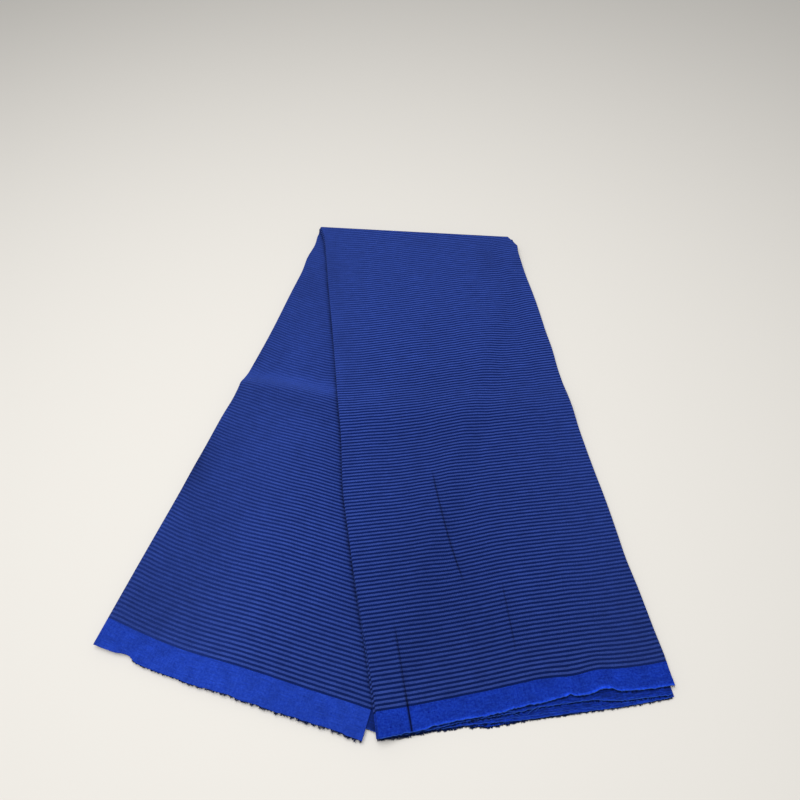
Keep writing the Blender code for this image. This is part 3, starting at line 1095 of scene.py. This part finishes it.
def build_warp_ends(sizes):
    """Dark warp ends that stick out of every raw edge, uneven, a little bent and lying down."""
    chance = random.Random(FRAY_SEED)
    mesh = bmesh.new()
    edges = {side: raw_edges(side) for side in ENDS}
    for fringe in FRINGES:
        run = edges[fringe.side][fringe.layer]
        spacing = fringe.spacing * sizes.fray_spacing / FRAY_SPACING
        for step in range(int((LAYER_WIDTH - fringe.start) / spacing)):
            across = fringe.start + (step + chance.uniform(*FRAY_PLACES)) * spacing
            row = Vector((across / TUFT_LENGTH, fringe.layer, SIDE_ROWS[fringe.side]))
            tuft = min(max(0.5 + TUFT_SWING * noise.noise(row), 0.0), 1.0)
            length = mix(fringe.length, fringe.end_length, across / LAYER_WIDTH)
            length *= mix(fringe.least, 1.0, tuft * chance.uniform(*FRAY_LENGTHS))
            edge = edge_across(run, fringe.layer, across)
            add_warp_end(mesh, edge, length, fringe.drop, sizes.fray_radius, chance)
    return finished(mesh)


def add_warp_end(mesh, edge, length, drop, radius, chance):
    """One warp end: it leaves the raw edge, falls on what is below and wanders to its tip."""
    sideways = edge.outward.cross(UP).normalized()
    lean, curl = chance.uniform(-FRAY_LEAN, FRAY_LEAN), chance.uniform(-FRAY_LEAN, FRAY_LEAN)
    lift = chance.uniform(0.0, radius)
    points = [edge.point - edge.outward * FRAY_ROOT]
    for part in FRAY_PARTS:
        fall = drop * eased(part * length / FRAY_FALL)
        aside = (lean * part + curl * part * part) * length
        point = edge.point + edge.outward * (part * length) + sideways * aside + UP * (lift - fall)
        points.append(above_floor(point, radius))
    add_yarn(mesh, points, [radius * share for share in FRAY_TAPER], FRAY_SIDES)


def build_edge_wefts(sizes):
    """The last weft along the raw edges that show, a little loose, and a few pulled threads."""
    chance = random.Random(WEFT_SEED)
    mesh = bmesh.new()
    edges = {side: raw_edges(side) for side in ENDS}
    for weft in EDGE_WEFTS:
        run = edges[weft.side][weft.layer]
        start, end = run[0].thread, run[-1].thread
        steps = int((end - start) / WEFT_STEP)
        radius = sizes.weft_radius * weft.share
        points = []
        for step in range(steps + 1):
            edge = edge_at(run, mix(start, end, step / steps))
            row = Vector((edge.thread / WEFT_WAVE_LENGTH, weft.layer, SIDE_ROWS[weft.side]))
            away = weft.past + WEFT_WAVE * noise.noise(row) + WEFT_JITTER * chance.uniform(-1.0, 1.0)
            lift = SHEET / 2 + WEFT_LIFT * noise.noise(row + WEFT_LIFT_ROW)
            points.append(above_floor(edge.point + edge.outward * away + UP * lift, radius))
        add_yarn(mesh, points, [radius * chance.uniform(*WEFT_THICKNESS) for _ in points], WEFT_SIDES)
    for loose in LOOSE_THREADS:
        run = edges["right"][loose.layer]
        add_loose_thread(mesh, edge_across(run, loose.layer, loose.across), loose, sizes)
    return finished(mesh)


def add_loose_thread(mesh, edge, loose, sizes):
    """One pulled thread that arches from a layer's raw edge down onto what is below."""
    sideways = UP.cross(edge.outward).normalized()
    points = []
    for step in range(LOOSE_STEPS + 1):
        share = step / LOOSE_STEPS
        height = 4.0 * loose.arch * share * (1.0 - share) - LOOSE_DROP * share * share
        point = edge.point + sideways * (loose.go_across * share)
        point += edge.outward * (loose.go_out * share ** LOOSE_CURVE)
        points.append(above_floor(point + UP * (height + SHEET / 2), sizes.loose_radius))
    add_yarn(mesh, points, [sizes.loose_radius] * len(points), LOOSE_SIDES)


# Materials

class Value:
    """One output of a node. Sums and products of values add nodes to its tree."""

    def __init__(self, nodes, socket):
        self.nodes = nodes
        self.socket = socket

    def __add__(self, other):
        return self.nodes.math("ADD", self, other)

    def __sub__(self, other):
        return self.nodes.math("SUBTRACT", self, other)

    def __rsub__(self, other):
        return self.nodes.math("SUBTRACT", other, self)

    def __mul__(self, other):
        return self.nodes.math("MULTIPLY", self, other)


class Nodes:
    """Short calls that add nodes to one material or group."""

    def __init__(self, tree):
        self.tree = tree

    def feed(self, socket, value):
        if isinstance(value, Value):
            self.tree.links.new(value.socket, socket)
        else:
            socket.default_value = value

    def make(self, kind, inputs=(), output=0, **settings):
        """A new node with its settings and inputs. It returns one of its outputs."""
        node = self.tree.nodes.new(kind)
        for name, value in settings.items():
            setattr(node, name, value)
        for name, value in dict(inputs).items():
            self.feed(node.inputs[name], value)
        return Value(self, node.outputs[output])

    def math(self, operation, *values):
        return self.make("ShaderNodeMath", enumerate(values), operation=operation)

    def vector(self, x, y):
        return self.make("ShaderNodeCombineXYZ", {"X": x, "Y": y})

    def mark(self, name):
        return self.make("ShaderNodeAttribute", output="Fac", attribute_name=name)

    def noise(self, vector, scale, detail=2.0):
        return self.make("ShaderNodeTexNoise", {"Vector": vector, "Scale": scale, "Detail": detail}, "Fac")

    def span(self, value, low, high, to_low=0.0, to_high=1.0):
        """The value eased from one range to another, and held at its ends."""
        ranges = enumerate((value, low, high, to_low, to_high))
        return self.make("ShaderNodeMapRange", ranges, "Result", interpolation_type="SMOOTHSTEP")

    def about_one(self, noise, swing):
        """A shade that follows a noise to both sides of one."""
        return self.span(noise, *NOISE_SPAN, 1.0 - swing, 1.0 + swing)

    def blend(self, share, first, second):
        inputs = {"Factor": share, "A": first, "B": second}
        return self.make("ShaderNodeMix", inputs, "Result", data_type="RGBA", clamp_factor=False)

    def shade(self, colour, share):
        """The colour times a value."""
        return self.make("ShaderNodeVectorMath", {0: colour, "Scale": share}, operation="SCALE")

    def vary(self, colour, change, weights):
        """The colour changed by a share of itself, with a weight each for red, green and blue."""
        inputs = (colour, self.shade(weights, change), colour)
        return self.make("ShaderNodeVectorMath", enumerate(inputs), operation="MULTIPLY_ADD")

    def bump(self, height, distance, **normal):
        inputs = {"Height": height, "Distance": distance, **normal}
        return self.make("ShaderNodeBump", inputs, "Normal")


def opaque(colour):
    return tuple(colour) + (1.0,)


def new_group(name, inputs, outputs):
    """A node group with named sockets: its nodes, its given values and its output sockets."""
    tree = bpy.data.node_groups.new(name, "ShaderNodeTree")
    for label, kind in inputs.items():
        tree.interface.new_socket(name=label, in_out="INPUT", socket_type="NodeSocket" + kind)
    for label in outputs:
        tree.interface.new_socket(name=label, in_out="OUTPUT", socket_type="NodeSocketFloat")
    nodes = Nodes(tree)
    sockets = tree.nodes.new("NodeGroupInput").outputs
    given = {label: Value(nodes, sockets[label]) for label in inputs}
    return nodes, given, tree.nodes.new("NodeGroupOutput").inputs


def place_group(nodes, name, values):
    """A group placed in a material with its own values. It returns its outputs by name."""
    node = nodes.tree.nodes.new("ShaderNodeGroup")
    node.node_tree = bpy.data.node_groups[name]
    for label, value in values.items():
        nodes.feed(node.inputs[label], value)
    return {output.name: Value(nodes, output) for output in node.outputs}


def make_uneven_yarn():
    """How a yarn's shade wanders about one, at a place given in metres."""
    nodes, given, out = new_group("uneven_yarn", {"Place": "Vector", "Amount": "Float"}, ("Shade",))
    fine = nodes.noise(given["Place"], YARN_FINE)
    broad = nodes.noise(given["Place"], YARN_BROAD)
    swing = fine * FINE_SHARE + broad * (1.0 - FINE_SHARE) - 0.5
    nodes.feed(out["Shade"], swing * (given["Amount"] * YARN_SWING) + 1.0)


def make_plain_weave():
    """The relief of a plain weave: a bump where a pick passes over a warp thread, in turns."""
    nodes, given, out = new_group("plain_weave", {"Threads": "Float", "Picks": "Float"}, ("Height", "Dip"))
    over_thread = nodes.math("SINE", given["Threads"] * math.pi)
    over_pick = nodes.math("SINE", given["Picks"] * math.pi)
    between = nodes.math("ABSOLUTE", over_pick)
    height = over_thread * over_pick * CROSSING_SHARE + between * (1.0 - CROSSING_SHARE)
    nodes.feed(out["Height"], height)
    nodes.feed(out["Dip"], nodes.span(height, *DIP_SPAN, 1.0, 0.0))


def make_weft_stripes():
    """Masks of the cloth's stripes and end bands, at a place in threads and stripes."""
    nodes, given, out = new_group(
        "weft_stripes",
        {"Threads": "Float", "Stripe": "Float", "Place": "Vector", "Dark Share": "Float", "Stripes": "Float"},
        ("Light", "Left Band", "Band", "Rib"))
    teeth = nodes.math("SINE", given["Threads"] * math.pi)
    wander = nodes.noise(given["Place"], WANDER_SCALE) - 0.5
    stripe = given["Stripe"] + (teeth * TEETH + wander * WANDER)
    half_dark = given["Dark Share"] * 0.5
    from_dark = nodes.math("PINGPONG", stripe - half_dark, 0.5)
    light = nodes.span(from_dark, half_dark - STRIPE_EDGE, half_dark + STRIPE_EDGE)
    left_band = nodes.math("LESS_THAN", stripe, 0.0)
    right_band = nodes.math("GREATER_THAN", stripe, given["Stripes"] + given["Dark Share"])
    band = nodes.math("MAXIMUM", left_band, right_band)
    nodes.feed(out["Light"], nodes.math("MAXIMUM", light, band))
    nodes.feed(out["Left Band"], left_band)
    nodes.feed(out["Band"], band)
    nodes.feed(out["Rib"], nodes.math("MAXIMUM", nodes.span(from_dark, 0.0, 0.5), band * BAND_LEVEL))


def new_material(name, roughness, specular):
    material = bpy.data.materials.new(name)
    material.use_nodes = True
    nodes = Nodes(material.node_tree)
    shader = material.node_tree.nodes["Principled BSDF"]
    shader.inputs["Roughness"].default_value = roughness
    shader.inputs["Specular IOR Level"].default_value = specular
    return material, nodes, shader


def cloth_material(colours, sizes):
    """Ribbed weft stripes of blue and near-black yarn, with a plain blue band at each raw end."""
    material, nodes, shader = new_material("striped_cloth", CLOTH_ROUGHNESS, CLOTH_SPECULAR)
    weave = nodes.make("ShaderNodeUVMap", uv_map="weave")
    across, stripe = (nodes.make("ShaderNodeSeparateXYZ", {0: weave}, axis) for axis in "XY")
    place = nodes.vector(across, stripe * STRIPE_PITCH)
    threads = nodes.math("DIVIDE", across, sizes.thread_spacing)
    picks = stripe * float(sizes.picks)
    pick = nodes.math("FLOOR", picks)
    masks = place_group(nodes, "weft_stripes", {
        "Threads": threads, "Stripe": stripe, "Place": place,
        "Dark Share": sizes.dark_share, "Stripes": float(STRIPES)})
    grain = place_group(nodes, "plain_weave", {"Threads": threads, "Picks": picks})
    band, left_band = masks["Band"], masks["Left Band"]
    striped = 1.0 - band
    # The stripes fade, and the end bands don't
    band_blue = nodes.blend(left_band, opaque(colours.right_band), opaque(colours.left_band))
    blue = nodes.blend(band, opaque(colours.light), band_blue)
    colour = nodes.blend(masks["Light"], opaque(colours.dark), blue)
    colour = nodes.blend(nodes.mark("fading") * striped, colour, opaque(colours.fade))
    # Each pick has its own shade, and the yarn varies along it
    pick_shade = nodes.about_one(nodes.noise(nodes.vector(across * PICK_STRETCH, pick), 1.0), PICK_SWING)
    amount = band * BAND_UNEVEN + CLOTH_UNEVEN
    yarn = place_group(nodes, "uneven_yarn", {"Place": place, "Amount": amount})["Shade"]
    # Painted shade and light from the shading mark, painted shade in the weave's dips, painted sheen on
    # stripes
    shade = pick_shade * yarn * nodes.mark("shading") * (1.0 - grain["Dip"] * DIP_SHADE)
    colour = nodes.shade(colour, shade * (nodes.mark("painted_sheen") * striped + 1.0))
    # The end bands are streaked and spotted, the right one more, and the stripes' yarn is slubbed
    streak = nodes.noise(nodes.vector(across * STREAK_ACROSS, stripe * STREAK_ALONG), 1.0) - 0.5
    mottle = nodes.about_one(nodes.noise(place, MOTTLE_SCALE, 1.0), MOTTLE)
    fleck = nodes.span(nodes.noise(place, FLECK_SCALE, 1.0), *FLECK_SPAN, 1.0, 1.0 - FLECK)
    spots = (mottle * fleck - 1.0) * (RIGHT_SPOTS - left_band * (RIGHT_SPOTS - LEFT_SPOTS))
    colour = nodes.vary(colour, (streak * STREAK + spots) * band, BAND_WEIGHTS)
    slub = nodes.noise(nodes.vector(across * SLUB_STRETCH, pick), 1.0, 1.0) - 0.5
    colour = nodes.vary(colour, slub * striped, SLUB_WEIGHTS)
    # Where wefts are missing the dark warp shows
    missing = nodes.noise(nodes.vector(across * MISSING_ACROSS, stripe * MISSING_ALONG), 1.0)
    missing = nodes.span(missing, *MISSING_SPAN)
    colour = nodes.blend(missing * nodes.mark("fraying"), colour, opaque(colours.warp))
    nodes.feed(shader.inputs["Base Color"], colour)
    rib = nodes.bump(masks["Rib"], sizes.rib_height)
    nodes.feed(shader.inputs["Normal"], nodes.bump(grain["Height"], sizes.weave_height, Normal=rib))
    shader.inputs["Sheen Weight"].default_value = CLOTH_SHEEN
    shader.inputs["Sheen Roughness"].default_value = CLOTH_SHEEN_ROUGHNESS
    shader.inputs["Sheen Tint"].default_value = opaque(colours.sheen)
    return material


def yarn_material(name, colour):
    """A loose yarn of one colour, uneven along its length."""
    material, nodes, shader = new_material(name, CLOTH_ROUGHNESS, CLOTH_SPECULAR)
    place = nodes.make("ShaderNodeTexCoord", output="Object")
    shade = place_group(nodes, "uneven_yarn", {"Place": place, "Amount": LOOSE_UNEVEN})["Shade"]
    nodes.feed(shader.inputs["Base Color"], nodes.shade(tuple(colour), shade))
    return material


# The stage

def make_floor(stage):
    material, _, shader = new_material("pale_floor", FLOOR_ROUGHNESS, FLOOR_SPECULAR)
    shader.inputs["Base Color"].default_value = opaque(stage.floor_colour)
    mesh = bmesh.new()
    bmesh.ops.create_grid(mesh, x_segments=1, y_segments=1, size=stage.floor_size / 2)
    floor = add_mesh("floor", mesh, material)
    floor.location.z = -FLOOR_DEPTH


def add_light(name, place, size, power, colour):
    """A square softbox aimed at the cloth."""
    data = bpy.data.lights.new(name, "AREA")
    data.size = size
    data.energy = power
    data.color = colour
    lamp = add_object(name, data)
    lamp.location = place
    lamp.rotation_mode = "QUATERNION"
    lamp.rotation_quaternion = (-Vector(place)).to_track_quat("-Z", "Y")


def make_sky(stage):
    world = bpy.data.worlds.new("soft_sky")
    world.use_nodes = True
    background = world.node_tree.nodes["Background"]
    background.inputs["Color"].default_value = opaque(stage.sky_colour)
    background.inputs["Strength"].default_value = stage.sky_strength
    bpy.context.scene.world = world


def make_camera():
    """The camera of the photograph: heading from +Y, pitch below the horizon, and roll."""
    data = bpy.data.cameras.new("camera")
    data.sensor_width = SENSOR_WIDTH
    data.lens = data.sensor_width * FOCAL_PIXELS / PHOTO_PIXELS
    heading, pitch, roll = CAMERA_HEADING, CAMERA_PITCH, CAMERA_ROLL
    right = Vector((math.cos(heading), -math.sin(heading), 0.0))
    level = Vector((math.sin(heading), math.cos(heading), 0.0))
    ahead = level * math.cos(pitch) - UP * math.sin(pitch)
    up = right.cross(ahead)
    x_axis = right * math.cos(roll) - up * math.sin(roll)
    y_axis = up * math.cos(roll) + right * math.sin(roll)
    turned = Matrix((x_axis, y_axis, -ahead)).transposed()
    camera = add_object("camera", data)
    camera.matrix_world = Matrix.Translation(CAMERA_PLACE) @ turned.to_4x4()
    bpy.context.scene.camera = camera


# The add-on's settings and steps

def small_length(name, description, default, **limits):
    """A setting for a length of a few millimetres or less."""
    return bpy.props.FloatProperty(
        name=name, description=description, default=default, unit="LENGTH", precision=5, **limits)


def colour_setting(name, description, default):
    """A setting for a colour."""
    return bpy.props.FloatVectorProperty(
        name=name, description=description, default=default, subtype="COLOR", min=0.0, max=1.0)


class ClothSizes(bpy.types.PropertyGroup):
    """Sizes of the weave and of the frayed ends."""

    thread_spacing: small_length(
        "Thread Spacing", "Distance between warp threads", THREAD_SPACING, min=0.0004)
    picks: bpy.props.IntProperty(
        name="Picks", description="Weft picks in one dark and one light stripe", default=PICKS, min=2)
    dark_share: bpy.props.FloatProperty(
        name="Dark Share", description="Share of the stripes that is dark", default=DARK_SHARE,
        min=0.0, max=1.0, subtype="FACTOR")
    rib_height: small_length("Rib Height", "How far a light stripe stands above a dark one", 0.00035)
    weave_height: small_length("Weave Height", "How far a pick stands above the warp", 0.00016)
    fray_spacing: small_length(
        "Fray Spacing", "Distance between the warp ends that stick out", FRAY_SPACING, min=0.0004)
    fray_radius: small_length("Fray Radius", "Radius of a warp end", 0.00034)
    weft_radius: small_length("Edge Weft Radius", "Radius of the last weft along a raw edge", 0.00046)
    loose_radius: small_length("Loose Thread Radius", "Radius of a pulled thread", 0.00030)


class ClothColours(bpy.types.PropertyGroup):
    """Colours of the yarns."""

    light: colour_setting("Light Stripe", "Blue weft of the stripes", (0.027, 0.058, 0.285))
    dark: colour_setting("Dark Stripe", "Near-black weft of the stripes", (0.0012, 0.0095, 0.092))
    # The lower leg's band is lighter than the upper leg's: partly the yarns' own colour, partly painted light
    left_band: colour_setting(
        "Left End Band", "Blue weft of the end band on the lower leg", (0.0125, 0.0485, 0.42))
    right_band: colour_setting(
        "Right End Band", "Blue weft of the end band on the upper leg", (0.0062, 0.0355, 0.39))
    fade: colour_setting("Faded Stripe", "Colour that the stripes fade to", (0.0142, 0.0340, 0.1900))
    warp: colour_setting("Warp Ends", "Dark warp that frays out of the raw ends", (0.0015, 0.0080, 0.055))
    edge_weft: colour_setting("Edge Weft", "Loose weft along the raw ends", (0.022, 0.078, 0.430))
    sheen: colour_setting("Sheen", "Tint of the cotton's sheen", (0.20, 0.36, 1.0))


class StageSettings(bpy.types.PropertyGroup):
    """The floor and the light."""

    floor_size: bpy.props.FloatProperty(
        name="Floor Size", description="Side of the square floor", default=14.0, unit="LENGTH")
    floor_colour: colour_setting("Floor Colour", "Colour of the floor", (0.745, 0.73, 0.70))
    sky_colour: colour_setting("Sky Colour", "Colour of the soft light from all round", (1.0, 0.99, 0.97))
    sky_strength: bpy.props.FloatProperty(
        name="Sky Strength", description="Strength of the soft light from all round", default=0.355, min=0.0)
    key_power: bpy.props.FloatProperty(
        name="Key Light Power", description="Power of the softbox", default=44.5, min=0.0, unit="POWER")
    key_size: bpy.props.FloatProperty(
        name="Key Light Size", description="Side of the square softbox", default=1.8, unit="LENGTH")


class FOLDEDCLOTH_OT_lay_sheet(bpy.types.Operator):
    """Lay the striped sheet in its folds, in place of the solid's cloth"""

    bl_idname = "folded_cloth.lay_sheet"
    bl_label = "Lay the Sheet"

    def execute(self, context):
        scene = context.scene
        make_uneven_yarn()
        make_plain_weave()
        make_weft_stripes()
        material = cloth_material(scene.cloth_colours, scene.cloth_sizes)
        sheet = place_piece("cloth_sheet", build_sheet(), material)
        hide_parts("cloth")
        return {"FINISHED"}


class FOLDEDCLOTH_OT_fray_ends(bpy.types.Operator):
    """Fray the raw ends with short warp ends and loose wefts"""

    bl_idname = "folded_cloth.fray_ends"
    bl_label = "Fray the Raw Ends"

    def execute(self, context):
        sizes, colours = context.scene.cloth_sizes, context.scene.cloth_colours
        warp = yarn_material("warp_yarn", colours.warp)
        weft = yarn_material("weft_yarn", colours.edge_weft)
        ends = place_piece("warp_ends", build_warp_ends(sizes), warp)
        wefts = place_piece("edge_wefts", build_edge_wefts(sizes), weft)
        return {"FINISHED"}


class FOLDEDCLOTH_OT_set_stage(bpy.types.Operator):
    """Set the floor, the light and the camera"""

    bl_idname = "folded_cloth.set_stage"
    bl_label = "Set the Stage"

    def execute(self, context):
        stage = context.scene.cloth_stage
        make_floor(stage)
        make_sky(stage)
        add_light("key_light", KEY_PLACE, stage.key_size, stage.key_power, KEY_COLOUR)
        make_camera()
        context.scene.view_settings.view_transform = "Standard"
        return {"FINISHED"}


class FOLDEDCLOTH_PT_steps(bpy.types.Panel):
    """The steps that make the folded cloth"""

    bl_idname = "FOLDEDCLOTH_PT_steps"
    bl_label = "Folded Cloth"
    bl_space_type = "VIEW_3D"
    bl_region_type = "UI"
    bl_category = "Folded Cloth"

    def draw(self, context):
        for step in STEPS:
            self.layout.operator(step.bl_idname)
        for name in SETTINGS:
            settings = getattr(context.scene, name)
            box = self.layout.box()
            for prop in settings.bl_rna.properties:
                if not prop.is_readonly and prop.identifier != "name":
                    box.prop(settings, prop.identifier)


STEPS = (FOLDEDCLOTH_OT_lay_sheet, FOLDEDCLOTH_OT_fray_ends, FOLDEDCLOTH_OT_set_stage)
SETTINGS = {"cloth_sizes": ClothSizes, "cloth_colours": ClothColours, "cloth_stage": StageSettings}


def register():
    for settings in SETTINGS.values():
        bpy.utils.register_class(settings)
    for name, settings in SETTINGS.items():
        setattr(bpy.types.Scene, name, bpy.props.PointerProperty(type=settings))
    for step in STEPS:
        bpy.utils.register_class(step)
    bpy.utils.register_class(FOLDEDCLOTH_PT_steps)


def unregister():
    bpy.utils.unregister_class(FOLDEDCLOTH_PT_steps)
    for step in reversed(STEPS):
        bpy.utils.unregister_class(step)
    for name, settings in SETTINGS.items():
        delattr(bpy.types.Scene, name)
        bpy.utils.unregister_class(settings)


def main():
    register()
    bpy.ops.folded_cloth.lay_sheet()
    bpy.ops.folded_cloth.fray_ends()
    bpy.ops.folded_cloth.set_stage()


if __name__ == "__main__":
    main()
